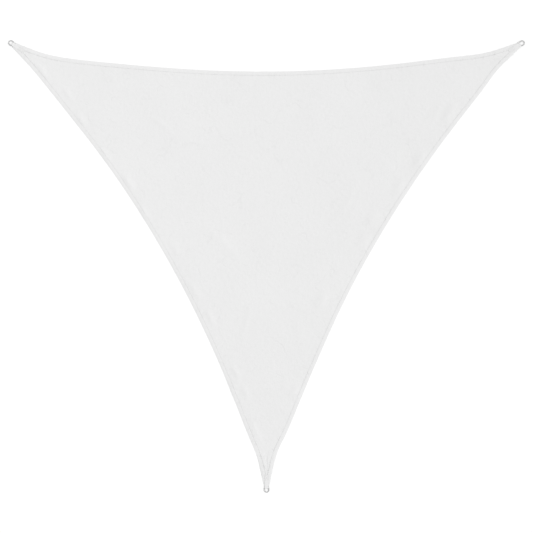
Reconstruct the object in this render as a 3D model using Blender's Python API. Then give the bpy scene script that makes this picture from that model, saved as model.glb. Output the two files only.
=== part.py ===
"""Triangular shade sail of white woven cloth, laid out flat with its corners tied off to three D-rings.

Metres, +Z up. +X runs from the left corner to the right one and +Y from the foot to the upper edge.
The origin is the middle of the part's box in plan, on the surface that the sail lies on.
The pieces are the hemmed panel, three webbing straps and three wire rings.
"""

import math
from collections import namedtuple

import bmesh
import bpy
import numpy as np
from mathutils import Matrix, Vector, geometry

# Overall size, between the outer ends of the rings
HEAD = 3.583  # left ring to right ring
DROP = 3.134  # line of the two upper rings down to the foot ring

# Cloth
PANEL = 0.0015  # thickness of the panel
HEM = 0.0026  # thickness of the turned and stitched hem
HEM_WIDTH = 0.028
HEM_STEP = 0.004  # run over which the hem steps down to the panel

# Rings, bent from round wire
WIRE = 0.0045
RING_WIDE = 0.035
RING_LONG = 0.035
RING_BEND = 0.003  # radius of the wire's axis where a leg turns into the bar

# Straps
WEBBING = 0.0013  # thickness
STRAP_HALF = 0.0125
STRAP_END = 0.125  # from the ring's outer end
STRAP_SLOPE = 0.009  # run in which the upper ply comes down from the bar
GAP = 0.0003  # between pieces that touch

# Tongues, where the cloth narrows towards a ring
TONGUE_START = 0.042  # from the ring's outer end
TONGUE_EASE = 0.020  # run in which an edge leaves the tongue's end
LIFT_FULL = 0.160  # the cloth lies on the strap's lower ply as far as this
LIFT_END = 0.225

# Heights worked out from the sizes above
WIRE_RADIUS = WIRE / 2
BAR_HEIGHT = WEBBING + GAP + WIRE_RADIUS
BAR_PLACE = RING_LONG - WIRE_RADIUS
LIFT = WEBBING + GAP
PLY_HEIGHT = LIFT + HEM + GAP  # underside of the strap's upper ply on the cloth

# Puckers beside the hem
PUCKER = 0.0030
PUCKER_PITCH = 0.170
PUCKER_PLACE = 0.058  # from the edge
PUCKER_SPREAD = 0.030
PUCKER_DRIFT = 1.3  # how far their spacing drifts, in radians of a pitch
PUCKER_DRIFT_PITCH = 0.61
PUCKER_FADE = 0.4  # share of their height that comes and goes
PUCKER_FADE_PITCH = 0.97

# Low swells of the panel
SWELL = 0.0026
SWELL_PITCH = 0.62
SWELL_CUT = 0.35  # the cloth lies flat where the waves are lower than this
SWELL_RIPPLE = 0.5  # share of the last wave
SWELL_MARGIN = 0.12  # run inside the hem over which the swells grow

# Section of a soft ridge
RIDGE_END_POWER = 0.6  # a low power keeps the crest full almost to its ends
RIDGE_FLANK_POWER = 1.5  # a high power draws the flanks out thin
RIDGE_ACROSS = (-1.0, -0.5, 0.0, 0.5, 1.0)  # mesh lines on a ridge, in half widths

# Fineness
EDGE_STEPS = 104
EDGE_BUNCHING = 0.05  # share of an edge by which its points draw towards the tongues
CREST_STEP = 0.05
GRID = 0.090
GRID_CLEAR = 0.55  # least distance of a grid point from the others, in pitches of the grid
POINT_CLEAR = 0.012  # least distance between a pucker's point and a ridge's
RIDGE_MARGIN = 0.006  # least distance of a ridge's point from the hem's step
LOOP_SLACK = 0.04  # share by which a loop's point may miss its distance from the edge
CROTCH_REACH = 0.45  # the two hems of a tongue meet nearer to the ring than this
CROTCH_STEPS = 400
MERGE = 1e-6
WIRE_SIDES_RESOLUTION = 4  # a curve's bevel has 4 sides more than twice this
BOW_STEPS = 17  # odd, so that a flat lies across the bow's middle
BEND_STEPS = 4
LOOP_STEPS = 12
SLOPE_STEPS = 6

# x and y of the ring's outer end, heading into the sail in degrees, half width of the tongue's end
Corner = namedtuple("Corner", "name x y heading half")
CORNERS = (
    Corner("left", -HEAD / 2, 0.001, -34.0, 0.0180),
    Corner("foot", 0.001, -DROP, 90.4, 0.0155),
    Corner("right", HEAD / 2, -0.001, -149.3, 0.0185),
)

# Edges run anticlockwise, each from one corner to the next.
# sag is how far the middle lies inside the chord, phase shifts the puckers.
Edge = namedtuple("Edge", "name start finish sag phase")
EDGES = (
    Edge("left", 0, 1, 0.2035, 0.0),
    Edge("right", 1, 2, 0.200, 1.7),
    Edge("top", 2, 0, 0.198, 3.9),
)

# Where the hem is drawn in, or let out if depth is negative, beyond the even curve of its edge
Pull = namedtuple("Pull", "edge end depth place tail")
PULLS = (
    Pull("left", "start", 0.0045, 0.20, 0.25),
    Pull("left", "start", -0.009, 0.62, 0.30),
    Pull("left", "finish", 0.017, 0.22, 0.13),
    Pull("left", "finish", -0.003, 0.16, 0.80),
    Pull("right", "start", 0.025, 0.24, 0.12),
    Pull("right", "start", -0.004, 0.13, 0.45),
    Pull("right", "start", -0.010, 0.95, 0.35),
    Pull("right", "finish", 0.020, 0.22, 0.14),
    Pull("right", "finish", -0.006, 0.13, 0.80),
    Pull("top", "start", 0.023, 0.25, 0.20),
    Pull("top", "finish", 0.0355, 0.28, 0.42),
)

# Waves of the swells, in turns for each pitch along X and Y. The first two multiply and the last is added.
Wave = namedtuple("Wave", "along_x along_y phase")
SWELL_WAVES = (
    Wave(1.00, 0.35, 0.9),
    Wave(-0.25, 0.80, 0.4),
    Wave(1.60, -1.10, 2.1),
)

# Soft folds that stay in the cloth: middle, bearing in degrees, length, half width, height, sideways bow
Fold = namedtuple("Fold", "x y bearing length half height bow")
FOLDS = (
    Fold(-0.735, 0.970, -39, 0.22, 0.030, 0.0045, 0.035),
    Fold(-0.193, 1.185, 20, 0.19, 0.028, 0.0040, -0.015),
    Fold(0.224, 1.161, -15, 0.24, 0.032, 0.0050, 0.030),
    Fold(0.120, 0.278, -13, 0.30, 0.030, 0.0055, 0.020),
    Fold(-0.328, 0.139, -42, 0.26, 0.030, 0.0050, 0.025),
    Fold(0.836, 0.699, -44, 0.20, 0.032, 0.0045, 0.030),
    Fold(1.170, 1.090, 64, 0.22, 0.035, 0.0040, -0.020),
    Fold(-1.130, 1.020, 33, 0.20, 0.030, 0.0040, 0.015),
    Fold(-0.560, 0.520, 71, 0.22, 0.034, 0.0035, 0.020),
    Fold(0.470, 0.800, 12, 0.24, 0.030, 0.0040, -0.025),
    Fold(0.560, 0.150, -58, 0.22, 0.034, 0.0050, 0.018),
    Fold(-0.060, -0.330, 24, 0.22, 0.028, 0.0040, 0.020),
    Fold(0.250, -0.480, -64, 0.20, 0.030, 0.0045, -0.015),
    Fold(-0.200, -0.820, 66, 0.20, 0.028, 0.0045, 0.015),
    Fold(0.140, -0.860, -52, 0.16, 0.026, 0.0050, 0.015),
    Fold(-0.075, -1.130, -58, 0.15, 0.022, 0.0045, -0.010),
)

# Gathers that run out of a tongue, between its two hems: places along and across its heading
Gather = namedtuple("Gather", "corner near_along near_across far_along far_across half height")
GATHERS = (
    Gather("left", 0.165, 0.010, 0.330, 0.030, 0.014, 0.0035),
    Gather("left", 0.170, -0.014, 0.300, -0.040, 0.013, 0.0030),
    Gather("foot", 0.150, 0.008, 0.265, 0.022, 0.011, 0.0040),
    Gather("foot", 0.150, -0.008, 0.270, -0.020, 0.011, 0.0045),
    Gather("right", 0.160, 0.008, 0.290, 0.028, 0.014, 0.0030),
    Gather("right", 0.165, -0.012, 0.340, -0.030, 0.014, 0.0035),
)

# crest is a line of points, side the unit vector across it
Ridge = namedtuple("Ridge", "crest side half height")


def smooth(value):
    """0 below 0, 1 above 1 and an even S between."""
    value = np.clip(value, 0.0, 1.0)
    return value * value * (3 - 2 * value)


def ahead(corner):
    """Unit vector in plan from the corner's ring into the sail."""
    turn = math.radians(corner.heading)
    return np.array([math.cos(turn), math.sin(turn)])


def left_of(direction):
    """The direction turned a quarter turn anticlockwise."""
    return np.array([-direction[1], direction[0]])


def plan_middle():
    """Middle of the box round the rings, before it is moved to the origin."""
    bows = np.array([[c.x, c.y] + RING_WIDE / 2 * ahead(c) for c in CORNERS])
    return (bows.min(axis=0) + bows.max(axis=0)) / 2


MIDDLE = plan_middle()


def spot(corner, along, across):
    """A point in plan, measured from the ring's outer end along and across the tongue."""
    forward = ahead(corner)
    return np.array([corner.x, corner.y]) - MIDDLE + along * forward + across * left_of(forward)


def pull_share(distance, place, tail):
    """Rises from the tongue to 1 at the place, and fades over the tail beyond it."""
    rising = np.sin(0.5 * math.pi * np.minimum(distance / place, 1.0))
    fading = 1 / (1 + (np.maximum(distance - place, 0.0) / tail) ** 2)
    return np.where(distance < place, rising, fading)


def edge_points(edge):
    """Points of one edge from tongue to tongue, closer together near the tongues."""
    first, last = CORNERS[edge.start], CORNERS[edge.finish]
    start = spot(first, TONGUE_START, -first.half)
    finish = spot(last, TONGUE_START, last.half)
    chord = finish - start
    length = np.linalg.norm(chord)
    even = np.linspace(0.0, 1.0, EDGE_STEPS + 1)
    share = even - EDGE_BUNCHING * np.sin(2 * math.pi * even)
    inset = 4 * edge.sag * share * (1 - share)
    for pull in PULLS:
        if pull.edge == edge.name:
            distance = length * (share if pull.end == "start" else 1 - share)
            inset += pull.depth * pull_share(distance, pull.place, pull.tail)
    inset *= smooth(share * length / TONGUE_EASE) * smooth((1 - share) * length / TONGUE_EASE)
    return start + share[:, None] * chord + inset[:, None] * left_of(chord / length)


EDGE_LINES = [edge_points(edge) for edge in EDGES]


def nearest_on_line(points, line):
    """Each point's distance to a line, below 0 on its right, and how far along the line it is nearest."""
    start, step = line[:-1], np.diff(line, axis=0)
    size = np.linalg.norm(step, axis=1)
    run = np.concatenate([[0.0], np.cumsum(size)[:-1]])
    offset = points[:, None, :] - start[None, :, :]
    share = np.clip((offset * step).sum(axis=2) / size**2, 0.0, 1.0)
    apart = np.linalg.norm(offset - share[:, :, None] * step, axis=2)
    rows, best = np.arange(len(points)), apart.argmin(axis=1)
    turn = step[best, 0] * offset[rows, best, 1] - step[best, 1] * offset[rows, best, 0]
    side = np.where(turn < 0, -1.0, 1.0)
    return side * apart[rows, best], run[best] + share[rows, best] * size[best]


def nearest_of_all(points):
    """Distances and places for all three edges, as two arrays with a column for each edge."""
    found = [nearest_on_line(points, line) for line in EDGE_LINES]
    return np.stack([f[0] for f in found], axis=1), np.stack([f[1] for f in found], axis=1)


def crotch(corner, offset):
    """The point on a tongue's middle line where both edges are the offset away."""
    along = np.linspace(TONGUE_START, CROTCH_REACH, CROTCH_STEPS)
    line = np.array([spot(corner, a, 0.0) for a in along])
    room = nearest_of_all(line)[0].min(axis=1)
    return line[int(np.argmax(room > offset))]


def inner_loop(offset):
    """The closed line that lies the offset inside the hem's outer edge."""
    points = []
    for number, (edge, line) in enumerate(zip(EDGES, EDGE_LINES)):
        along = np.gradient(line, axis=0)
        along /= np.linalg.norm(along, axis=1)[:, None]
        moved = line + offset * np.stack([-along[:, 1], along[:, 0]], axis=1)
        room = nearest_of_all(moved)[0]
        others = np.delete(room, number, axis=1).min(axis=1)
        clear = (others > offset * (1 + LOOP_SLACK)) & (room[:, number] > offset * (1 - LOOP_SLACK))
        points += list(moved[clear])
        points.append(crotch(CORNERS[edge.finish], offset))
    return np.array(points)


def ridge_of_fold(fold):
    """The fold's crest as a ridge that bows sideways between its ends."""
    turn = math.radians(fold.bearing)
    forward = np.array([math.cos(turn), math.sin(turn)])
    share = np.linspace(-0.5, 0.5, round(fold.length / CREST_STEP) + 1)[:, None]
    bowed = fold.bow * (1 - 4 * share**2) * left_of(forward)
    crest = np.array([fold.x, fold.y]) + share * fold.length * forward + bowed
    return Ridge(crest, left_of(forward), fold.half, fold.height)


def ridge_of_gather(gather):
    """The gather's crest as a straight ridge."""
    corner = next(c for c in CORNERS if c.name == gather.corner)
    near = spot(corner, gather.near_along, gather.near_across)
    far = spot(corner, gather.far_along, gather.far_across)
    length = np.linalg.norm(far - near)
    crest = near + np.linspace(0.0, 1.0, round(length / CREST_STEP) + 2)[:, None] * (far - near)
    return Ridge(crest, left_of((far - near) / length), gather.half, gather.height)


RIDGES = [ridge_of_fold(fold) for fold in FOLDS] + [ridge_of_gather(gather) for gather in GATHERS]


def ridge_height(points, ridge):
    """Height of a soft ridge at each point. It dies out at the ends of its crest."""
    apart, place = nearest_on_line(points, ridge.crest)
    length = np.linalg.norm(np.diff(ridge.crest, axis=0), axis=1).sum()
    ends = np.sin(math.pi * np.clip(place / length, 0.0, 1.0)) ** RIDGE_END_POWER
    flanks = np.clip(1 - (apart / ridge.half) ** 2, 0.0, 1.0) ** RIDGE_FLANK_POWER
    return ridge.height * ends * flanks


def swell(points):
    """Low, wide swells, cut off at the surface so that the cloth lies flat between them."""
    turn = 2 * math.pi / SWELL_PITCH
    x, y = points[:, 0], points[:, 1]
    first, second, ripple = (
        np.sin(turn * (wave.along_x * x + wave.along_y * y) + wave.phase) for wave in SWELL_WAVES
    )
    return SWELL * np.clip(first * second + SWELL_RIPPLE * ripple - SWELL_CUT, 0.0, None)


def pucker(apart, place):
    """Short lifts of the cloth along the inside of each hem, unevenly spaced."""
    height = np.zeros(len(apart))
    for number, edge in enumerate(EDGES):
        turns = 2 * math.pi * place[:, number]
        drift = PUCKER_DRIFT * np.sin(turns / PUCKER_DRIFT_PITCH)
        wave = np.sin(turns / PUCKER_PITCH + drift + edge.phase)
        share = 1 - PUCKER_FADE + PUCKER_FADE * np.sin(turns / PUCKER_FADE_PITCH + 2 * edge.phase)
        bell = np.exp(-(((apart[:, number] - PUCKER_PLACE) / PUCKER_SPREAD) ** 2))
        height = np.maximum(height, PUCKER * share * bell * np.clip(wave, 0.0, 1.0))
    return height


def heights(points):
    """Height of the cloth's underside and of its top at each point in plan."""
    apart, place = nearest_of_all(points)
    room = apart.min(axis=1)
    tips = np.array([spot(corner, 0.0, 0.0) for corner in CORNERS])
    reach = np.linalg.norm(points[:, None, :] - tips, axis=2).min(axis=1)
    loose = smooth((reach - LIFT_FULL) / (LIFT_END - LIFT_FULL))
    form = swell(points) * smooth((room - HEM_WIDTH) / SWELL_MARGIN)
    form += pucker(apart, place) * loose * smooth(room / HEM_WIDTH)
    for ridge in RIDGES:
        form = np.maximum(form, ridge_height(points, ridge))
    under = LIFT * (1 - loose) + form
    thick = PANEL + (HEM - PANEL) * (1 - smooth((room - HEM_WIDTH) / HEM_STEP))
    return under, under + thick


def ridge_points():
    """Points on the crest, the flanks and the feet of every ridge, inside the hem."""
    lines = [ridge.crest + share * ridge.half * ridge.side for ridge in RIDGES for share in RIDGE_ACROSS]
    points = np.concatenate(lines)
    return points[nearest_of_all(points)[0].min(axis=1) > HEM_WIDTH + HEM_STEP + RIDGE_MARGIN]


def gap_to(points, others):
    """Distance from each point to the nearest of the others."""
    return np.linalg.norm(points[:, None, :] - others[None, :, :], axis=2).min(axis=1)


def panel_points(fixed):
    """A staggered grid over the panel, clear of the hem and of the points that are already there."""
    row = GRID * math.sqrt(3) / 2
    points = []
    for number in range(int(DROP / row) + 2):
        shift = GRID / 2 * (number % 2)
        y = -DROP / 2 + number * row
        points += [(x + shift, y) for x in np.arange(-HEAD / 2, HEAD / 2, GRID)]
    points = np.array(points)
    points = points[nearest_of_all(points)[0].min(axis=1) > PUCKER_PLACE + GRID / 2]
    return points[gap_to(points, fixed) > GRID_CLEAR * GRID]


def sail_mesh():
    """The sheet: one triangulation in plan, used for both faces and closed round the outline."""
    loops = [np.concatenate(EDGE_LINES), inner_loop(HEM_WIDTH), inner_loop(HEM_WIDTH + HEM_STEP)]
    ridges, puckers = ridge_points(), inner_loop(PUCKER_PLACE)
    fixed = np.concatenate([ridges, puckers[gap_to(puckers, ridges) > POINT_CLEAR]])
    points = np.concatenate([*loops, fixed, panel_points(fixed)])
    lines, first = [], 0
    for loop in loops:
        lines += [(first + i, first + (i + 1) % len(loop)) for i in range(len(loop))]
        first += len(loop)
    flat, _, faces, *_ = geometry.delaunay_2d_cdt([Vector(p) for p in points], lines, [], 1, MERGE)
    plan = np.array([[p.x, p.y] for p in flat])
    under, top = heights(plan)
    bm = bmesh.new()
    lower = [bm.verts.new((x, y, z)) for (x, y), z in zip(plan, under)]
    upper = [bm.verts.new((x, y, z)) for (x, y), z in zip(plan, top)]
    for a, b, c in faces:
        bm.faces.new((upper[a], upper[b], upper[c]))
        bm.faces.new((lower[c], lower[b], lower[a]))
    partner = dict(zip(lower, upper))
    for edge in [e for e in bm.edges if e.is_boundary and e.verts[0] in partner]:
        a, b = edge.verts
        bm.faces.new((a, b, partner[b], partner[a]))
    bmesh.ops.recalc_face_normals(bm, faces=bm.faces)
    return bm


def strap_outline():
    """The strap's section along the tongue: lower ply, loop round the bar, upper ply and back inside."""
    outer, inner = [], []
    for skin, radius in ((outer, BAR_HEIGHT), (inner, WIRE_RADIUS + GAP)):
        level = PLY_HEIGHT + (WEBBING if skin is outer else 0.0)
        skin.append((STRAP_END, BAR_HEIGHT - radius))
        for step in range(LOOP_STEPS + 1):
            turn = math.radians(-90 - 180 * step / LOOP_STEPS)
            skin.append((BAR_PLACE + radius * math.cos(turn), BAR_HEIGHT + radius * math.sin(turn)))
        for step in range(1, SLOPE_STEPS + 1):
            fall = float(smooth(step / SLOPE_STEPS))
            height = (BAR_HEIGHT + radius) * (1 - fall) + level * fall
            skin.append((BAR_PLACE + STRAP_SLOPE * step / SLOPE_STEPS, height))
        skin.append((STRAP_END, level))
    return outer + inner[::-1]


def strap_mesh():
    """The strap's section, extruded across the tongue."""
    bm = bmesh.new()
    side = bm.faces.new([bm.verts.new((a, -STRAP_HALF, z)) for a, z in strap_outline()])
    grown = bmesh.ops.extrude_face_region(bm, geom=[side])["geom"]
    moved = [item for item in grown if isinstance(item, bmesh.types.BMVert)]
    bmesh.ops.translate(bm, verts=moved, vec=(0.0, 2 * STRAP_HALF, 0.0))
    bmesh.ops.recalc_face_normals(bm, faces=bm.faces)
    return bm


def ring_path():
    """The wire's axis as a closed D, measured from the ring's outer end."""
    half = RING_WIDE / 2 - WIRE_RADIUS
    points = []
    for step in range(BOW_STEPS + 1):
        turn = math.radians(90 + 180 * step / BOW_STEPS)
        points.append((RING_WIDE / 2 + half * math.cos(turn), half * math.sin(turn)))
    bend_along = BAR_PLACE - RING_BEND
    for side, first in ((-1, -90), (1, 0)):
        bend_across = side * (half - RING_BEND)
        for step in range(BEND_STEPS + 1):
            turn = math.radians(first + 90 * step / BEND_STEPS)
            offset = RING_BEND * math.cos(turn), RING_BEND * math.sin(turn)
            points.append((bend_along + offset[0], bend_across + offset[1]))
    return points


def ring_curve(name):
    """The wire as a bevelled closed curve, level, with the middle of its bar at the origin."""
    curve = bpy.data.curves.new(name, "CURVE")
    curve.dimensions = "3D"
    curve.bevel_depth = WIRE_RADIUS
    curve.bevel_resolution = WIRE_SIDES_RESOLUTION
    path = ring_path()
    spline = curve.splines.new("POLY")
    spline.points.add(len(path) - 1)
    spline.use_cyclic_u = True
    spline.use_smooth = True
    sides = 4 + 2 * WIRE_SIDES_RESOLUTION
    for point, (along, across) in zip(spline.points, path):
        point.co = (along - BAR_PLACE, across, 0.0, 1.0)
        point.tilt = math.pi / sides  # a flat, not an edge, faces the middle of the ring
    return curve


def ring_matrix():
    """Puts the ring's bar in the strap's loop and dips its bow to the surface."""
    dip = math.asin((BAR_HEIGHT - WIRE_RADIUS) / (BAR_PLACE - WIRE_RADIUS))
    return Matrix.Translation((BAR_PLACE, 0.0, BAR_HEIGHT)) @ Matrix.Rotation(-dip, 4, "Y")


def material(name, color, roughness, metallic=0.0):
    """A plain finish in the piece's colour."""
    made = bpy.data.materials.new(name)
    made.use_nodes = True
    surface = made.node_tree.nodes["Principled BSDF"]
    surface.inputs["Base Color"].default_value = (*color, 1.0)
    surface.inputs["Roughness"].default_value = roughness
    surface.inputs["Metallic"].default_value = metallic
    return made


def place(name, data, finish, matrix=None):
    """Adds the object under its node's name. A bmesh is turned into a mesh first."""
    if isinstance(data, bmesh.types.BMesh):
        mesh = bpy.data.meshes.new(name)
        data.to_mesh(mesh)
        data.free()
        data = mesh
    data.materials.append(finish)
    made = bpy.data.objects.new(name, data)
    made.matrix_world = matrix or Matrix.Identity(4)
    bpy.context.scene.collection.objects.link(made)


def corner_matrix(corner):
    """Takes lengths along and across a tongue, from its ring's outer end, to the sail's frame."""
    x, y = spot(corner, 0.0, 0.0)
    return Matrix.Translation((x, y, 0.0)) @ Matrix.Rotation(math.radians(corner.heading), 4, "Z")


def build():
    """Clears the scene and adds the sail, then a strap and a ring at each corner."""
    for old in list(bpy.data.objects):
        bpy.data.objects.remove(old)
    cloth = material("cloth", (0.80, 0.80, 0.80), 0.85)
    webbing = material("webbing", (0.78, 0.78, 0.78), 0.75)
    steel = material("steel", (0.62, 0.62, 0.63), 0.22, 1.0)
    place("sail", sail_mesh(), cloth)
    for corner in CORNERS:
        stand = corner_matrix(corner)
        place(f"strap_{corner.name}", strap_mesh(), webbing, stand)
        place(f"ring_{corner.name}", ring_curve(f"ring_{corner.name}"), steel, stand @ ring_matrix())


build()
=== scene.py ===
import math
import random

import bmesh
import bpy
import numpy as np
from mathutils import Matrix, Vector
from mathutils.bvhtree import BVHTree


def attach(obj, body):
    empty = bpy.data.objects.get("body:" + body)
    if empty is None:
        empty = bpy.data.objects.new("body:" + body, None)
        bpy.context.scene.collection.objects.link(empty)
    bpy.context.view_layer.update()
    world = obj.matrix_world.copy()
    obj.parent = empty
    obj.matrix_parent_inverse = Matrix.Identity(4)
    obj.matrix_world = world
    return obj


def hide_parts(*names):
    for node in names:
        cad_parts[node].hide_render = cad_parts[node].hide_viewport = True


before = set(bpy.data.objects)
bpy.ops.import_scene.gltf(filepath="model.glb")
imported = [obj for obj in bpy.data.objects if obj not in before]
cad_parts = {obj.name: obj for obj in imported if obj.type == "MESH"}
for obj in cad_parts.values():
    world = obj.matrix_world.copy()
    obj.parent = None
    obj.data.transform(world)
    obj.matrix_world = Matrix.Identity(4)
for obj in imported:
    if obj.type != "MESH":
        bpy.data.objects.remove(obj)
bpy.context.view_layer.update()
print("frame loaded")

# A triangular shade sail, laid out flat. Everything is in metres. The sail lies on z = 0, with +X to its
# right corner and +Y to its upper edge.
joinDistance = 0.00001
tongueStart = 0.042  # from a ring's outer end to the end of the cloth
sharpTurn = math.radians(45)  # the outline turns more than this only at the ends of a tongue
seamPlace = 0.027  # from the sail's edge to the seam of its hem
barPlace, barHeight = 0.03275, 0.00385  # the middle of a ring's bar, from the ring's outer end and up
pointsAtOnce = 4000  # keeps the memory small while distances are worked out
up, down = Vector((0.0, 0.0, 1.0)), Vector((0.0, 0.0, -1.0))


def smoothStep(value):
    value = np.clip(value, 0.0, 1.0)
    return value * value * (3 - 2 * value)


def leftOf(directions):  # a quarter turn anticlockwise
    return np.stack([-directions[..., 1], directions[..., 0]], axis=-1)


def unit(directions):
    return directions / np.linalg.norm(directions, axis=-1, keepdims=True)


def signedArea(points):  # above 0 where they run anticlockwise
    after = np.roll(points, -1, axis=0)
    return (points[:, 0] * after[:, 1] - points[:, 1] * after[:, 0]).sum() / 2


def runAlong(line):  # how far along a line each of its points lies
    return np.concatenate([[0.0], np.cumsum(np.linalg.norm(np.diff(line, axis=0), axis=1))])


def readAt(wanted, run, values):  # pairs of values along a line, read at any place on it
    return np.stack([np.interp(wanted, run, values[:, k]) for k in range(2)], axis=-1)


def cadMesh(node, keep):  # a welded copy of a CAD node, with only the faces that pass the test
    mesh = bmesh.new()
    mesh.from_mesh(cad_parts[node].data)
    bmesh.ops.remove_doubles(mesh, verts=mesh.verts, dist=joinDistance)
    mesh.normal_update()
    bmesh.ops.delete(mesh, geom=[f for f in mesh.faces if not keep(f)], context="FACES")
    return mesh


def sailOutline():  # the rim of the CAD sail's upper face, in order and anticlockwise
    mesh = cadMesh("sail", lambda face: face.normal.z > 0.5)
    rim = [e for e in mesh.edges if e.is_boundary]
    beside = {}
    for edge in rim:
        for here, there in (edge.verts, tuple(reversed(edge.verts))):
            beside.setdefault(here, []).append(there)
    walk = list(rim[0].verts)
    while len(walk) < len(rim):
        walk.append(next(v for v in beside[walk[-1]] if v is not walk[-2]))
    points = np.array([v.co.xy[:] for v in walk])
    mesh.free()
    return points if signedArea(points) > 0 else points[::-1]


def cutOutline(points):  # the three long edges, each from one tongue to the next, and the closed outline
    step = unit(np.roll(points, -1, axis=0) - points)
    turn = np.arccos(np.clip((step * np.roll(step, 1, axis=0)).sum(axis=1), -1.0, 1.0))
    corners = np.flatnonzero(turn > sharpTurn)
    points = np.roll(points, -corners[0], axis=0)
    ends = [*(corners - corners[0]), len(points)]
    points = np.concatenate([points, points[:1]])
    spans = [points[a : b + 1] for a, b in zip(ends[:-1], ends[1:])]
    return sorted(spans, key=len)[3:], points


def inOrder(lines):  # anticlockwise, each edge starting at the tongue where the one before ends
    ordered = [lines[0]]
    while len(ordered) < 3:
        end = ordered[-1][-1]
        rest = [line for line in lines if not any(line is done for done in ordered)]
        ordered.append(min(rest, key=lambda line: np.linalg.norm(line[0] - end)))
    return ordered


longEdges, outline = cutOutline(sailOutline())
edgeLines = inOrder(longEdges)


def cornerPlace(number):  # the tongue before an edge: X runs into the sail from the ring's outer end
    a, b = edgeLines[number - 1][-1], edgeLines[number][0]
    forward = leftOf(unit(b - a))
    tip = (a + b) / 2 - tongueStart * forward
    return Matrix.Translation((*tip, 0.0)) @ Matrix.Rotation(math.atan2(forward[1], forward[0]), 4, "Z")


def cornerName(place):
    x, y, _ = place.translation
    return "foot" if y < 0 else "left" if x < 0 else "right"


cornerPlaces = [cornerPlace(number) for number in range(3)]
cornerNames = [cornerName(place) for place in cornerPlaces]
print("outline read:", len(outline), "points, corners", *cornerNames)


def nearestOnLine(points, line):  # distance to a line, and how far along it
    start, step = line[:-1], np.diff(line, axis=0)
    size, run = np.linalg.norm(step, axis=1), runAlong(line)
    apart, place = np.empty(len(points)), np.empty(len(points))
    for some in np.array_split(np.arange(len(points)), len(points) // pointsAtOnce + 1):
        offset = points[some, None, :] - start[None, :, :]
        share = np.clip((offset * step).sum(axis=2) / size**2, 0.0, 1.0)
        gap = np.linalg.norm(offset - share[:, :, None] * step, axis=2)
        rows, best = np.arange(len(some)), gap.argmin(axis=1)
        apart[some] = gap[rows, best]
        place[some] = run[best] + share[rows, best] * size[best]
    return apart, place


def nearestEdges(points):  # distances and places for the three long edges, a column for each
    found = [nearestOnLine(points, line) for line in edgeLines]
    return np.stack([f[0] for f in found], axis=1), np.stack([f[1] for f in found], axis=1)


class Wire:  # one socket of a node, so that shader maths reads as Python
    def __init__(self, tree, socket):
        self.tree, self.socket = tree, socket

    def node(self, kind, settings, inputs, output=0):
        made = self.tree.nodes.new(kind)
        for name, value in settings.items():
            setattr(made, name, value)
        for name, value in inputs.items():
            if isinstance(value, Wire):
                self.tree.links.new(value.socket, made.inputs[name])
            else:
                made.inputs[name].default_value = value
        return Wire(self.tree, made.outputs[output])

    def maths(self, operation, first, second=0.0):
        return self.node("ShaderNodeMath", {"operation": operation}, {0: first, 1: second})

    def __add__(self, other):
        return self.maths("ADD", self, other)

    def __sub__(self, other):
        return self.maths("SUBTRACT", self, other)

    def __rsub__(self, other):
        return self.maths("SUBTRACT", other, self)

    def __mul__(self, other):
        return self.maths("MULTIPLY", self, other)

    def __abs__(self):
        return self.maths("ABSOLUTE", self)

    __radd__, __rmul__ = __add__, __mul__

    def wave(self, pitch):  # a sine of that pitch, from -1 to 1
        return self.maths("SINE", self * (2 * math.pi / pitch))

    def band(self, middle, half):  # 1 at the middle, fading to 0 at half a width away
        ends = {"From Min": 0.0, "From Max": half, "To Min": 1.0, "To Max": 0.0}
        smooth = {"interpolation_type": "SMOOTHSTEP"}
        return self.node("ShaderNodeMapRange", smooth, {"Value": abs(self - middle), **ends})

    def noise(self, scale, detail=2.0):  # about 0.5
        return self.node("ShaderNodeTexNoise", {}, {"Vector": self, "Scale": scale, "Detail": detail})

    def alone(self):  # a value as the X of a vector
        return self.node("ShaderNodeCombineXYZ", {}, {"X": self})

    def stretched(self, amounts):
        return self.node("ShaderNodeMapping", {}, {"Vector": self, "Scale": amounts})

    def parts(self):
        return [self.node("ShaderNodeSeparateXYZ", {}, {"Vector": self}, output) for output in range(2)]

    def onMap(self, name):  # the two coordinates of a piece's own map
        return self.node("ShaderNodeUVMap", {"uv_map": name}, {}).parts()

    def tint(self, dark, light):  # mixes two shades of grey
        colours = {6: (dark, dark, dark, 1.0), 7: (light, light, light, 1.0)}
        return self.node("ShaderNodeMix", {"data_type": "RGBA"}, {"Factor": self, **colours}, 2)

    def shadedBy(self, amount):  # a colour made darker
        kind = {"data_type": "RGBA", "blend_type": "MULTIPLY"}
        return self.node("ShaderNodeMix", kind, {"Factor": 1.0, 6: self, 7: amount}, 2)

    def bump(self):  # self is a height in metres
        return self.node("ShaderNodeBump", {}, {"Height": self, "Distance": 1.0})

    def into(self, surface, name):
        self.tree.links.new(self.socket, surface.inputs[name])


def newFinish(name, values):  # a material, its surface shader and its object coordinates
    finish = bpy.data.materials.new(name)
    finish.use_nodes = True
    surface = finish.node_tree.nodes["Principled BSDF"]
    for socket, value in values.items():
        surface.inputs[socket].default_value = value
    coordinates = finish.node_tree.nodes.new("ShaderNodeTexCoord")
    return finish, surface, Wire(finish.node_tree, coordinates.outputs["Object"])


def roughen(place, surface, look, detail=2.0):  # roughness that wanders between two values
    low, high = look["rough"]
    (place.noise(look["roughScale"], detail) * (high - low) + low).into(surface, "Roughness")


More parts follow.
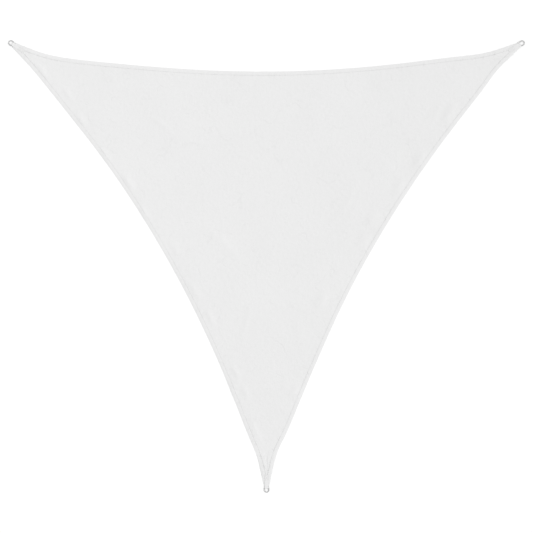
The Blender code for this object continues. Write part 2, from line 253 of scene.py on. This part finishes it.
clothLook = {
    "dark": 0.682,
    "light": 0.716,
    "broad": 2.6,  # scales of its broad and its small patches, and the broad ones' share
    "small": 24.0,
    "broadShare": 0.7,
    "rough": (0.78, 0.92),
    "roughScale": 60.0,
    "thread": 0.0012,  # width of one thread of the weave
    "threadRelief": 0.00010,
    "slubs": (30.0, 900.0),  # thick places in the threads: scales along and across them
    "slubRelief": 0.00006,
    "crumple": 38.0,  # how fine the small crumples are, for each metre
    "crumpleRelief": 0.0022,
    "wrinkles": 4.5,
    "wrinkleHalf": 0.022,  # in the noise's own units
    "wrinkleRelief": 0.0007,
    # painted shade along the wrinkles' lines
    "paintedWrinkleShade": 0.016,
    "wrinkleGaps": 7.65,  # a second noise that breaks the wrinkles up
    "gapMiddle": 0.62,
    "gapHalf": 0.14,
    "grooveHalf": 0.0022,
    "paintedGrooveShade": 0.09,  # painted shade: how much darker the cloth is painted in the stitched groove
    "cornerReach": 0.34,
    "cornerShade": 0.015,  # the cloth is a little darker near a corner
    "puckerPitch": 0.011,  # fine puckers that the needle leaves beside the seam
    "puckerHalf": 0.016,
    "puckerRelief": 0.00030,
    "puckerStray": 0.006,  # how far they wander along the seam, and the scale of that
    "strayScale": 30.0,
    "gathers": 34.0,  # wider ones for each metre, as uneven as the pull of the thread
    "gatherRelief": 0.0050,
}


def clothFinish(look):
    finish, surface, place = newFinish("wovenCloth", {"Sheen Weight": 0.08, "Specular IOR Level": 0.25})
    x, y = place.parts()
    run, away = place.onMap("hemMap")
    pinch, reach = place.onMap("pinchMap")
    weave = x.wave(look["thread"] * 2) * y.wave(look["thread"] * 2)
    along, across = look["slubs"]
    warp, weft = (along, across, 1.0), (across, along, 1.0)
    slubs = place.stretched(warp).noise(1.0) + place.stretched(weft).noise(1.0)
    puckers = (run + place.noise(look["strayScale"]) * look["puckerStray"]).wave(look["puckerPitch"])
    gathers = ((run * look["gathers"]).alone().noise(1.0) - 0.5) * look["gatherRelief"]
    puckers = puckers * look["puckerRelief"] + gathers * pinch
    puckers = puckers * away.band(seamPlace, look["puckerHalf"])
    crumples = place.noise(look["crumple"], detail=3.0) * look["crumpleRelief"]
    wrinkles = place.noise(look["wrinkles"], detail=3.0).band(0.5, look["wrinkleHalf"])  # its contour lines
    wrinkles = wrinkles * place.noise(look["wrinkleGaps"]).band(look["gapMiddle"], look["gapHalf"])
    crumples = crumples - wrinkles * look["wrinkleRelief"]
    relief = weave * look["threadRelief"] + slubs * look["slubRelief"] + puckers
    (relief + crumples).bump().into(surface, "Normal")
    broad = place.noise(look["broad"], detail=3.0) * look["broadShare"]
    patches = broad + place.noise(look["small"], detail=3.0) * (1 - look["broadShare"])
    # painted shade in the seam's groove, deeper where the seam pinches harder and near a corner
    groove = 1 - away.band(seamPlace, look["grooveHalf"]) * pinch * look["paintedGrooveShade"]
    corner = 1 - reach.band(0.0, look["cornerReach"]) * look["cornerShade"]
    # the wrinkles get painted shade along their lines
    shade = groove * corner - wrinkles * look["paintedWrinkleShade"]
    patches.tint(look["dark"], look["light"]).shadedBy(shade).into(surface, "Base Color")
    roughen(place, surface, look)
    return finish


webbingLook = {
    "dark": 0.66,
    "light": 0.72,
    "dust": 220.0,  # scale of its small patches, and the weave's share beside them
    "weaveShare": 0.7,
    "rough": (0.65, 0.85),
    "roughScale": 90.0,
    "rib": 0.0023,  # pitch of the ribs along the strap
    "ribShare": 0.6,  # of the relief
    "pick": 0.0017,  # pitch of the weft across it
    "pickBend": 0.0005,  # how far a rib bends the weft
    "relief": 0.00022,
}


def webbingFinish(look):
    finish, surface, place = newFinish("wovenWebbing", {"Sheen Weight": 0.1, "Specular IOR Level": 0.3})
    along, across = place.onMap("strapMap")
    ribs = abs(across.wave(look["rib"] * 2))
    picks = (along + ribs * look["pickBend"]).wave(look["pick"]) * 0.5 + 0.5
    weave = ribs * look["ribShare"] + picks * (1 - look["ribShare"])
    (weave * look["relief"]).bump().into(surface, "Normal")
    patches = weave * look["weaveShare"] + place.noise(look["dust"]) * (1 - look["weaveShare"])
    patches.tint(look["dark"], look["light"]).into(surface, "Base Color")
    roughen(place, surface, look)
    return finish


threadLook = {"dark": 0.40, "light": 0.51, "shadeScale": 700.0, "rough": (0.5, 0.7), "roughScale": 300.0}


def threadFinish(look):
    finish, surface, place = newFinish("sewingThread", {"Specular IOR Level": 0.4})
    place.noise(look["shadeScale"]).tint(look["dark"], look["light"]).into(surface, "Base Color")
    roughen(place, surface, look)
    return finish


steelLook = {
    "dark": 0.32,
    "light": 0.45,
    "rough": (0.13, 0.35),
    "roughScale": 420.0,
    "scratches": (140.0, 140.0, 900.0),
    "scratchScale": 6.0,
    "scratchRelief": 0.00003,
}


def steelFinish(look):
    finish, surface, place = newFinish("polishedWire", {"Metallic": 1.0})
    scratches = place.stretched(look["scratches"]).noise(look["scratchScale"], detail=4.0)
    scratches.tint(look["dark"], look["light"]).into(surface, "Base Color")
    roughen(place, surface, look, detail=4.0)
    (scratches * look["scratchRelief"]).bump().into(surface, "Normal")
    return finish


floorLook = {"dark": 0.86, "light": 0.87, "shadeScale": 0.8}


def floorFinish(look):
    finish, surface, place = newFinish("paleFloor", {"Specular IOR Level": 0.0, "Roughness": 1.0})
    place.noise(look["shadeScale"]).tint(look["dark"], look["light"]).into(surface, "Base Color")
    return finish


finishes = {
    "cloth": clothFinish(clothLook),
    "webbing": webbingFinish(webbingLook),
    "thread": threadFinish(threadLook),
    "steel": steelFinish(steelLook),
    "floor": floorFinish(floorLook),
}
print("finishes made")


def addPiece(name, mesh, finish, slot=None):  # a bmesh becomes a piece at the origin
    data = bpy.data.meshes.new(name)
    mesh.to_mesh(data)
    mesh.free()
    data.materials.append(finishes[finish])
    data.shade_smooth()
    piece = bpy.data.objects.new(name, data)
    bpy.context.scene.collection.objects.link(piece)
    if slot:
        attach(piece, "root")
    return piece


# The sail is one thin sheet: three patches of quads, one from each tongue, that meet at its middle
sheetSizes = {
    "rows": 112,
    "panelColumns": 106,  # even, so that one of them runs through the middle
    "rowCrowding": 1.25,  # rows lie closer together near a tongue
    "bandColumns": (  # beside each edge, in millimetres from it
        (0.0, 0.25, 0.8, 1.6, 5.0, 9.0, 14.0, 23.2)
        + (25.6, 27.0, 28.4, 29.5, 31.0, 36.0, 43.0, 51.0, 60.0)
    ),
    "narrow": 0.036,  # in a tongue thinner than this the columns draw together
    "widening": 0.42,  # share of half a tongue's width that they win back in a wider one
    "keptShare": 0.86,  # the inner part of their room, where they keep their places
    "bendFade": 1.5,  # how fast the rows' bend at the sail's middle fades towards a tongue
    "panel": 0.0015,
    "hem": 0.0021,
    "hemWidth": 0.0286,
    "hemStep": 0.0016,
    "pillow": 0.013,  # run over which the hem swells from its outer edge
    "pillowDrop": 0.42,  # share of its thickness that it lacks at the edge
    "roll": 0.0014,  # width of the hem's round outer edge
    "groove": 0.0005,
    "grooveHalf": 0.0017,
    "smoothing": 12,  # rounds of smoothing for the CAD sail's facets
    "smoothFactor": 0.5,
}

# Waves beside the hem, where the seam pulls the cloth
hemRipples = {
    "height": 0.0011,
    "swell": 0.35,  # how uneven their height is
    "swellPitch": 0.83,
    "pitch": 0.068,
    "sway": 1.4,  # how uneven their pitch is
    "swayPitch": 0.41,
    "place": 0.036,  # from the edge
    "spread": 0.020,
    "start": 0.15,  # from a corner
}

# How hard the thread draws the cloth in along the seam, which also sets how dark the painted shade in the
# seam's groove is
seamPinch = {
    "pitch": 0.075,
    "sway": 1.7,  # how uneven its pitch is
    "swayTurns": 3.7,  # pitches in one sway
    "uneven": 0.8,
    "unevenTurns": 2.6,  # pitches in one rise and fall
    "corner": 1.1,  # what a corner adds: all of it up to near, and none from far on
    "near": 0.14,
    "far": 0.55,
}

# Creases left by packing: middle, bearing in degrees, length, half width, height (a trough's is below 0)
# and how far the line bows out at its middle
creases = (
    {"x": -0.735, "y": 0.970, "bearing": -39, "length": 0.40, "half": 0.030, "height": -0.0020, "bow": 0.050},
    {"x": -0.193, "y": 1.185, "bearing": 20, "length": 0.36, "half": 0.028, "height": 0.0018, "bow": -0.025},
    {"x": 0.224, "y": 1.161, "bearing": -15, "length": 0.42, "half": 0.030, "height": -0.0018, "bow": 0.045},
    {"x": 0.120, "y": 0.278, "bearing": -13, "length": 0.50, "half": 0.032, "height": -0.0022, "bow": 0.035},
    {"x": -0.328, "y": 0.139, "bearing": -42, "length": 0.46, "half": 0.030, "height": 0.0020, "bow": 0.040},
    {"x": 0.836, "y": 0.699, "bearing": -44, "length": 0.38, "half": 0.028, "height": -0.0018, "bow": 0.045},
    {"x": 0.520, "y": 0.450, "bearing": 58, "length": 0.44, "half": 0.030, "height": 0.0018, "bow": -0.040},
    {"x": -0.120, "y": -0.420, "bearing": 74, "length": 0.36, "half": 0.028, "height": 0.0018, "bow": 0.030},
)

# Lobes where the hem's pull lifts the cloth just inside it: middle, length and height of each. They run
# along the hem beside them, and those beside the right one are wider.
lobeSides = {"left": {"bearing": -60, "half": 0.026}, "right": {"bearing": 60, "half": 0.050}}
lobes = (
    {"x": -1.555, "y": 1.355, "length": 0.12, "height": 0.0047},
    {"x": -1.380, "y": 1.195, "length": 0.11, "height": 0.0036},
    {"x": -1.290, "y": 1.025, "length": 0.13, "height": 0.0043},
    {"x": -1.120, "y": 0.775, "length": 0.12, "height": 0.0040},
    {"x": -0.960, "y": 0.590, "length": 0.14, "height": 0.0047},
    {"x": -0.845, "y": 0.365, "length": 0.12, "height": 0.0036},
    {"x": -0.635, "y": 0.125, "length": 0.13, "height": 0.0043},
    {"x": -0.495, "y": -0.175, "length": 0.14, "height": 0.0040},
    {"x": -0.385, "y": -0.365, "length": 0.11, "height": 0.0047},
    {"x": -0.215, "y": -0.730, "length": 0.12, "height": 0.0040},
    {"x": -0.150, "y": -0.870, "length": 0.11, "height": 0.0043},
    {"x": 1.275, "y": 1.070, "length": 0.18, "height": 0.0058},
    {"x": 1.065, "y": 0.745, "length": 0.15, "height": 0.0054},
    {"x": 0.925, "y": 0.565, "length": 0.16, "height": 0.0056},
    {"x": 0.735, "y": 0.320, "length": 0.13, "height": 0.0046},
    {"x": 0.670, "y": 0.175, "length": 0.15, "height": 0.0052},
    {"x": 0.385, "y": -0.235, "length": 0.16, "height": 0.0052},
    {"x": 0.200, "y": -0.865, "length": 0.13, "height": 0.0050},
)


def alongLine(line, shares):  # points and directions at shares of half a line's length
    run = runAlong(line)
    wanted = shares * run[-1] / 2
    return readAt(wanted, run, line), unit(readAt(wanted, run, np.gradient(line, run, axis=0)))


def drawnIn(offsets, half, sizes):  # keeps an edge's columns on its own side of a narrow tongue
    wide = smoothStep(2 * half / sizes["narrow"] - 1)
    limit = half * (0.5 + sizes["widening"] * wide)
    kept, reach = sizes["keptShare"] * limit, offsets[-1]
    squeezed = kept + (offsets - kept) * (limit - kept) / (reach - kept)
    return np.where((offsets <= kept) | (limit >= reach), offsets, squeezed)


def patchPlan(number, centre, sizes):  # plan of one patch: rows from the tongue on, columns across
    shares = np.linspace(0.0, 1.0, sizes["rows"] + 1) ** sizes["rowCrowding"]
    nearPoints, nearAhead = alongLine(edgeLines[number], shares)
    farPoints, farAhead = alongLine(edgeLines[number - 1][::-1], shares)
    halves = np.linalg.norm(farPoints - nearPoints, axis=1) / 2
    offsets = np.array(sizes["bandColumns"]) / 1000
    bands = np.stack([drawnIn(offsets, half, sizes) for half in halves])[:, :, None]
    near = nearPoints[:, None] + bands * leftOf(nearAhead)[:, None]
    far = farPoints[:, None] - bands * leftOf(farAhead)[:, None]
    across = np.linspace(0.0, 1.0, sizes["panelColumns"] + 1)[None, 1:-1, None]
    straight = near[:, -1:] * (1 - across) + far[:, -1:] * across
    first = near[-1:, -1:] * (1 - 2 * across) + centre * 2 * across
    second = centre * (2 - 2 * across) + far[-1:, -1:] * (2 * across - 1)
    bend = np.where(across < 0.5, first, second) - straight[-1:]
    middle = straight + (halves / halves[-1])[:, None, None] ** sizes["bendFade"] * bend
    plan = np.concatenate([near, middle, far[:, ::-1]], axis=1)
    tongueEnd = (farPoints[0] - nearPoints[0]) / (2 * halves[0])
    plan[0] = nearPoints[0] + ((plan[0] - nearPoints[0]) @ tongueEnd)[:, None] * tongueEnd
    return plan


def sheetPlan(sizes):  # the flat mesh of the whole sail
    mesh = bmesh.new()
    centre = np.mean([place.translation.xy[:] for place in cornerPlaces], axis=0)
    columns = 2 * len(sizes["bandColumns"]) + sizes["panelColumns"] - 2
    for number in range(3):
        plan = patchPlan(number, centre, sizes)
        made = bmesh.ops.create_grid(mesh, x_segments=columns, y_segments=sizes["rows"], size=1.0)
        for vert in made["verts"]:
            column = round((vert.co.x + 1) / 2 * columns)
            row = round((vert.co.y + 1) / 2 * sizes["rows"])
            vert.co = (*plan[row, column], 0.0)
    bmesh.ops.remove_doubles(mesh, verts=mesh.verts, dist=joinDistance)
    mesh.normal_update()
    bmesh.ops.reverse_faces(mesh, faces=[face for face in mesh.faces if face.normal.z < 0])
    return mesh


def foldHeights(points):  # how high the CAD sail's underside lies
    mesh = cadMesh("sail", lambda face: face.normal.z < -0.5)
    tree = BVHTree.FromBMesh(mesh)
    mesh.free()
    heights = []
    for x, y in points:
        spot = tree.ray_cast((x, y, -1.0), up)[0] or tree.find_nearest((x, y, 0.0))[0]
        heights.append(spot.z)
    return heights


def creaseHeight(points, crease):
    turn = math.radians(crease["bearing"])
    forward = np.array([math.cos(turn), math.sin(turn)])
    offset = points - (crease["x"], crease["y"])
    along = np.clip(2 * (offset @ forward) / crease["length"], -1.0, 1.0)
    across = offset @ leftOf(forward) - crease["bow"] * (1 - along**2)
    return crease["height"] * (1 - along**2) * np.exp(-2 * (across / crease["half"]) ** 2)


def lobeCreases():  # each lobe as a straight crease
    return [{**lobe, **lobeSides["left" if lobe["x"] < 0 else "right"], "bow": 0.0} for lobe in lobes]


def rippleHeight(apart, place, sizes):  # the pull of the seam lifts the cloth in uneven waves
    height = np.zeros(len(apart))
    for number in range(3):
        turns = 2 * math.pi * place[:, number]
        sway = sizes["sway"] * np.sin(turns / sizes["swayPitch"] + number)
        wave = 0.5 + 0.5 * np.sin(turns / sizes["pitch"] + sway)
        share = 1 - sizes["swell"] * (1 - np.sin(turns / sizes["swellPitch"] + 2 * number))
        bell = np.exp(-(((apart[:, number] - sizes["place"]) / sizes["spread"]) ** 2))
        height = np.maximum(height, sizes["height"] * share * bell * wave)
    return height


def pinchStrength(run, reach, edge, sizes):  # how hard the seam draws the cloth in, about 1
    turns = 2 * math.pi * run / sizes["pitch"]
    sway = sizes["sway"] * np.sin(turns / sizes["swayTurns"] + edge)
    uneven = np.sin(turns + sway) * np.sin(turns / sizes["unevenTurns"] + 2 * edge)
    corner = 1 - smoothStep((reach - sizes["near"]) / (sizes["far"] - sizes["near"]))
    return (1 + sizes["uneven"] * uneven) * (1 + sizes["corner"] * corner)


def sheetForm(mesh, points, apart, place, reach, sizes):  # height of the cloth's underside, folds and all
    for vert, height in zip(mesh.verts, foldHeights(points)):
        vert.co.z = height
    for _ in range(sizes["smoothing"]):
        bmesh.ops.smooth_vert(mesh, verts=mesh.verts, factor=sizes["smoothFactor"], use_axis_z=True)
    form = np.array([v.co.z for v in mesh.verts])
    form += rippleHeight(apart, place, hemRipples) * smoothStep(reach / hemRipples["start"] - 1)
    form += sum(creaseHeight(points, crease) for crease in (*creases, *lobeCreases()))
    return np.maximum(form, 0.0)


def sheetThickness(points, apart, sizes):  # the whole of it, and half of it once the edge is rounded
    room = apart.min(axis=1)
    toRim = nearestOnLine(points, outline)[0]
    swollen = 1 - sizes["pillowDrop"] * (1 - smoothStep(room / sizes["pillow"]))
    inside = smoothStep((room - sizes["hemWidth"]) / sizes["hemStep"])
    full = sizes["hem"] * swollen * (1 - inside) + sizes["panel"] * inside
    seams = np.exp(-(((apart - seamPlace) / sizes["grooveHalf"]) ** 2)).max(axis=1)
    rounding = np.sqrt(1 - (1 - np.clip((toRim - joinDistance) / sizes["roll"], 0.0, 1.0)) ** 2)
    return full, (full / 2 - sizes["groove"] * seams) * rounding


def addMaps(mesh, run, room, pinch, reach):  # what the cloth's finish reads, from values at each vertex
    mesh.verts.index_update()
    hemMap, pinchMap = (mesh.loops.layers.uv.new(name) for name in ("hemMap", "pinchMap"))
    for loop in (loop for face in mesh.faces for loop in face.loops):
        number = loop.vert.index
        loop[hemMap].uv = run[number], room[number]
        loop[pinchMap].uv = pinch[number], reach[number]


def sailSheet(sizes):  # an upper and a lower face, joined round the rim
    mesh = sheetPlan(sizes)
    points = np.array([v.co.xy[:] for v in mesh.verts])
    apart, place = nearestEdges(points)
    nearest = apart.argmin(axis=1)
    tips = np.array([corner.translation.xy[:] for corner in cornerPlaces])
    reach = np.linalg.norm(points[:, None] - tips, axis=2).min(axis=1)
    form = sheetForm(mesh, points, apart, place, reach, sizes)
    full, half = sheetThickness(points, apart, sizes)
    run = place[np.arange(len(points)), nearest]
    addMaps(mesh, run, apart.min(axis=1), pinchStrength(run, reach, nearest, seamPinch), reach)
    upper = list(mesh.verts)
    made = bmesh.ops.duplicate(mesh, geom=[*mesh.verts, *mesh.edges, *mesh.faces])
    lowerFaces = [item for item in made["geom"] if isinstance(item, bmesh.types.BMFace)]
    bmesh.ops.reverse_faces(mesh, faces=lowerFaces)
    for vert, middle, thick in zip(upper, form + full / 2, half):
        vert.co.z = middle + thick
        made["vert_map"][vert].co.z = middle - thick
    bmesh.ops.remove_doubles(mesh, verts=[v for v in mesh.verts if v.is_boundary], dist=joinDistance)
    return mesh


sailMesh = sailSheet(sheetSizes)
sailTree = BVHTree.FromBMesh(sailMesh)
print("sail:", len(sailMesh.faces), "faces, open edges:", sum(e.is_boundary for e in sailMesh.edges))
sail = addPiece("sailCloth", sailMesh, "cloth", "cloth")
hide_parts("sail")


strapSizes = {
    "half": 0.0125,
    "end": 0.125,  # from the ring's outer end
    "thickness": 0.0012,
    "edge": 0.0004,  # rounding of its edges, in steps, where they turn more than an angle in degrees
    "edgeSteps": 2,
    "edgeTurn": 50,
    "loop": 0.0029,  # radius of the webbing's middle round the bar
    "slope": 0.009,
    "upper": 0.0045,  # height of the upper ply's middle
    "loopSteps": 24,  # even, so that one of its points is the loop's middle
    "slopeSteps": 8,
    "steps": 150,
    "columns": 14,
}


def strapPath(sizes):  # the middle of the webbing from the lower ply's end, round the bar, to the upper's
    radius = sizes["loop"]
    path = [(sizes["end"], barHeight - radius)]
    for share in np.linspace(0.0, 1.0, sizes["loopSteps"] + 1):
        turn = math.radians(-90 - 180 * share)
        path.append((barPlace + radius * math.cos(turn), barHeight + radius * math.sin(turn)))
    for share in np.linspace(0.0, 1.0, sizes["slopeSteps"] + 1)[1:]:
        fall = smoothStep(share)
        height = (barHeight + radius) * (1 - fall) + sizes["upper"] * fall
        path.append((barPlace + sizes["slope"] * share, height))
    return np.array([*path, (sizes["end"], sizes["upper"])])


def strapMesh(corner, sizes):
    path = strapPath(sizes)
    run = runAlong(path)
    crown = run[1 + sizes["loopSteps"] // 2]  # the middle of the loop
    mesh = bmesh.new()
    made = bmesh.ops.create_grid(mesh, x_segments=sizes["steps"], y_segments=sizes["columns"], size=1.0)
    layer = mesh.loops.layers.uv.new("strapMap")
    for face in mesh.faces:
        for loop in face.loops:
            share, side = (loop.vert.co.x + 1) / 2, loop.vert.co.y
            loop[layer].uv = share * run[-1] - crown, side * sizes["half"]
    for vert in made["verts"]:
        place = (vert.co.x + 1) / 2 * run[-1]
        along, height = readAt(place, run, path)
        vert.co = (along, vert.co.y * sizes["half"], height)
    bmesh.ops.transform(mesh, matrix=corner, verts=mesh.verts)
    bmesh.ops.recalc_face_normals(mesh, faces=mesh.faces)
    return mesh


def addStrap(name, corner, sizes):
    strap = addPiece(f"webbing-{name}", strapMesh(corner, sizes), "webbing", "webbing")
    wall = strap.modifiers.new("wall", "SOLIDIFY")
    wall.thickness, wall.offset = sizes["thickness"], 0.0
    soft = strap.modifiers.new("soft", "BEVEL")
    soft.width, soft.segments, soft.limit_method = sizes["edge"], sizes["edgeSteps"], "ANGLE"
    soft.angle_limit = math.radians(sizes["edgeTurn"])
    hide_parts(f"strap_{name}")
    return strap


ringSizes = {
    "wire": 0.0045,
    "wide": 0.035,
    "bend": 0.003,  # radius of its two corners, at the wire's middle
    "around": 20,
    "bowSteps": 44,
    "bendSteps": 10,
}


def turnEnd(mesh, end, centre, angle, steps):  # spins an open end and returns the new one
    made = bmesh.ops.spin(mesh, geom=end, cent=centre, axis=up, angle=angle, steps=steps)
    return made["geom_last"]


def pushEnd(mesh, end, step):  # draws an open end out straight and returns the new one
    edges = [item for item in end if isinstance(item, bmesh.types.BMEdge)]
    made = bmesh.ops.extrude_edge_only(mesh, edges=edges)["geom"]
    verts = [item for item in made if isinstance(item, bmesh.types.BMVert)]
    bmesh.ops.translate(mesh, verts=verts, vec=step)
    return [item for item in made if not isinstance(item, bmesh.types.BMFace)]


def ringMesh(corner, sizes):  # bow, leg, bend, bar, bend and leg, drawn from one circle of wire
    radius, bend = sizes["wire"] / 2, sizes["bend"]
    half, bow = sizes["wide"] / 2 - radius, sizes["wide"] / 2
    leg = barPlace - bend - bow
    mesh = bmesh.new()
    start = Matrix.Translation((bow, half, 0.0)) @ Matrix.Rotation(math.radians(90), 4, "Y")
    end = bmesh.ops.create_circle(mesh, segments=sizes["around"], radius=radius, matrix=start)["verts"]
    end = [*end, *mesh.edges]
    end = turnEnd(mesh, end, (bow, 0.0, 0.0), math.pi, sizes["bowSteps"])
    end = pushEnd(mesh, end, (leg, 0.0, 0.0))
    end = turnEnd(mesh, end, (bow + leg, bend - half, 0.0), math.pi / 2, sizes["bendSteps"])
    end = pushEnd(mesh, end, (0.0, 2 * (half - bend), 0.0))
    end = turnEnd(mesh, end, (bow + leg, half - bend, 0.0), math.pi / 2, sizes["bendSteps"])
    pushEnd(mesh, end, (-leg, 0.0, 0.0))
    bmesh.ops.remove_doubles(mesh, verts=mesh.verts, dist=joinDistance)
    dip = math.asin((barHeight - radius) / (barPlace - radius))  # its bow rests on the ground
    bar = Matrix.Translation((barPlace, 0.0, barHeight))
    lean = bar @ Matrix.Rotation(-dip, 4, "Y") @ Matrix.Translation((-barPlace, 0.0, 0.0))
    bmesh.ops.transform(mesh, matrix=corner @ lean, verts=mesh.verts)
    bmesh.ops.recalc_face_normals(mesh, faces=mesh.faces)
    return mesh


stitchSizes = {
    "pitch": 0.0050,
    "length": 0.0041,
    "radius": 0.00033,
    "lift": 0.00012,  # how far the thread's middle stands off the cloth
    "stray": 0.00025,
    "beadAround": 6,
    "beadAlong": 3,
}

# The box and cross sewn through each strap: its two ends, from the ring's outer end, and half its width
boxSizes = {"start": 0.082, "end": 0.119, "half": 0.0092, "pitch": 0.0037, "length": 0.0031}


def placesAlong(line, pitch):  # points and directions every pitch along a line
    run = runAlong(line)
    points = readAt(np.arange(pitch / 2, run[-1], pitch), run, line)
    return points, unit(np.gradient(points, axis=0))


def stitchPlace(point, ahead, out, length, radius):  # lays a unit bead along the seam
    side = out.cross(ahead)
    turned = Matrix((side, out, ahead)).transposed().to_4x4()
    return Matrix.Translation(point) @ turned @ Matrix.Diagonal((radius, radius, length / 2, 1.0))


def sewn(places, sizes):  # one bead of thread, doubled until there is one for each place
    bead = bmesh.new()
    around, along = sizes["beadAround"], sizes["beadAlong"]
    bmesh.ops.create_uvsphere(bead, u_segments=around, v_segments=along, radius=1.0)
    data = bpy.data.meshes.new("bead")
    bead.to_mesh(data)
    bead.free()
    mesh = bmesh.new()
    mesh.from_mesh(data)
    count = len(data.vertices)
    while len(mesh.verts) < count * len(places):
        bmesh.ops.duplicate(mesh, geom=[*mesh.verts, *mesh.edges, *mesh.faces])
    mesh.verts.ensure_lookup_table()
    bmesh.ops.delete(mesh, geom=mesh.verts[count * len(places) :], context="VERTS")
    for number, vert in enumerate(mesh.verts):
        vert.co = places[number // count] @ vert.co
    bpy.data.meshes.remove(data)
    return mesh


def seamLine(number, place):  # runs inside one edge, from hem crossing to hem crossing
    line = edgeLines[number]
    moved = line + place * leftOf(unit(np.gradient(line, axis=0)))
    others = np.delete(nearestEdges(moved)[0], number, axis=1).min(axis=1)
    return moved[others > place]


def underStrap(point):  # a strap covers the cloth here
    spots = [corner.inverted() @ Vector((*point, 0.0)) for corner in cornerPlaces]
    return any(s.x < strapSizes["end"] and abs(s.y) < strapSizes["half"] for s in spots)


def hemStitches(number, sizes):  # one row of lockstitch, seen on both faces of the cloth
    places, chance = [], random.Random(number)
    points, directions = placesAlong(seamLine(number, seamPlace), sizes["pitch"])
    for point, direction in zip(points, directions):
        point = point + leftOf(direction) * chance.uniform(-1, 1) * sizes["stray"]
        if underStrap(point):
            continue
        for side in (up, down):
            spot, out = sailTree.ray_cast(Vector((*point, 0.0)) + side, -side)[:2]
            ahead = Vector((*direction, 0.0))
            ahead = (ahead - out * ahead.dot(out)).normalized()
            middle = spot + out * sizes["lift"]
            places.append(stitchPlace(middle, ahead, out, sizes["length"], sizes["radius"]))
    return sewn(places, sizes)


def boxStitches(corner, strap, box, sizes):
    near, far, half = box["start"], box["end"], box["half"]
    ends = [(near, -half), (far, -half), (far, half), (near, half)]
    cross = [(ends[0], ends[2]), (ends[3], ends[1])]
    upperSide = strap["upper"] + strap["thickness"] / 2 + sizes["lift"]
    lowerSide = barHeight - strap["loop"] - strap["thickness"] / 2 - sizes["lift"]
    places = []
    for line in [*zip(ends, ends[1:] + ends[:1]), *cross]:
        points, directions = placesAlong(np.array(line), box["pitch"])
        for point, direction in zip(points, directions):
            ahead = Vector((*direction, 0.0))
            for height, out in ((upperSide, up), (lowerSide, down)):
                spot = corner @ Vector((*point, height))
                turned = corner.to_3x3() @ ahead
                places.append(stitchPlace(spot, turned, out, box["length"], sizes["radius"]))
    return sewn(places, sizes)


onSail = []
for number, (name, corner) in enumerate(zip(cornerNames, cornerPlaces)):
    ring = addPiece(f"ring-{name}", ringMesh(corner, ringSizes), "steel", "steel")
    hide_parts(f"ring_{name}")
    boxMesh = boxStitches(corner, strapSizes, boxSizes, stitchSizes)
    boxSeam = addPiece(f"boxStitches-{name}", boxMesh, "thread", "webbing")
    hemMesh = hemStitches(number, stitchSizes)
    hemSeam = addPiece(f"hemStitches-{number + 1}", hemMesh, "thread", "cloth")
    onSail += [addStrap(name, corner, strapSizes), ring, boxSeam, hemSeam]
    print("corner", name, "made")

flatArea = abs(signedArea(outline))


studio = {
    "lens": 100.0,
    "frameWide": 3.705,  # what the photograph's width spans at the sail
    "centre": (0.0002, -0.0004),
    "sky": 1.0,
    "sun": 1.0,
    "sunWide": 30,  # degrees
    "sunFrom": (0.90, 0.12, 0.55),
    "overhead": 18.0,
    "overheadPlace": (-2.5, 0.4, 5.0),
    "overheadSize": 3.0,
    "floorHalf": 40.0,
    "floorHeight": -0.0002,
}


def makeFloor(values):
    mesh = bmesh.new()
    bmesh.ops.create_grid(mesh, x_segments=1, y_segments=1, size=values["floorHalf"])
    bmesh.ops.translate(mesh, verts=mesh.verts, vec=(0.0, 0.0, values["floorHeight"]))
    floor = addPiece("floor", mesh, "floor")


def makeLights(values):
    world = bpy.data.worlds.new("studio")
    bpy.context.scene.world = world
    world.use_nodes = True
    world.node_tree.nodes["Background"].inputs["Color"].default_value = (1.0, 1.0, 1.0, 1.0)
    world.node_tree.nodes["Background"].inputs["Strength"].default_value = values["sky"]
    sun = bpy.data.lights.new("sun", "SUN")
    sun.energy, sun.angle = values["sun"], math.radians(values["sunWide"])
    lamp = bpy.data.lights.new("overhead", "AREA")
    lamp.energy, lamp.size = values["overhead"], values["overheadSize"]
    for light, place in ((sun, values["sunFrom"]), (lamp, values["overheadPlace"])):
        thing = bpy.data.objects.new(light.name, light)
        thing.location = place
        thing.rotation_euler = Vector(place).to_track_quat("Z", "Y").to_euler()
        bpy.context.scene.collection.objects.link(thing)


def makeCamera(values):
    camera = bpy.data.cameras.new("camera")
    camera.lens = values["lens"]
    away = values["frameWide"] * camera.lens / camera.sensor_width
    thing = bpy.data.objects.new("camera", camera)
    thing.location = (*values["centre"], away)  # looks straight down
    bpy.context.scene.collection.objects.link(thing)
    bpy.context.scene.camera = thing
    bpy.context.scene.view_settings.view_transform = "Standard"


makeFloor(studio)
makeLights(studio)
makeCamera(studio)
print("studio made")
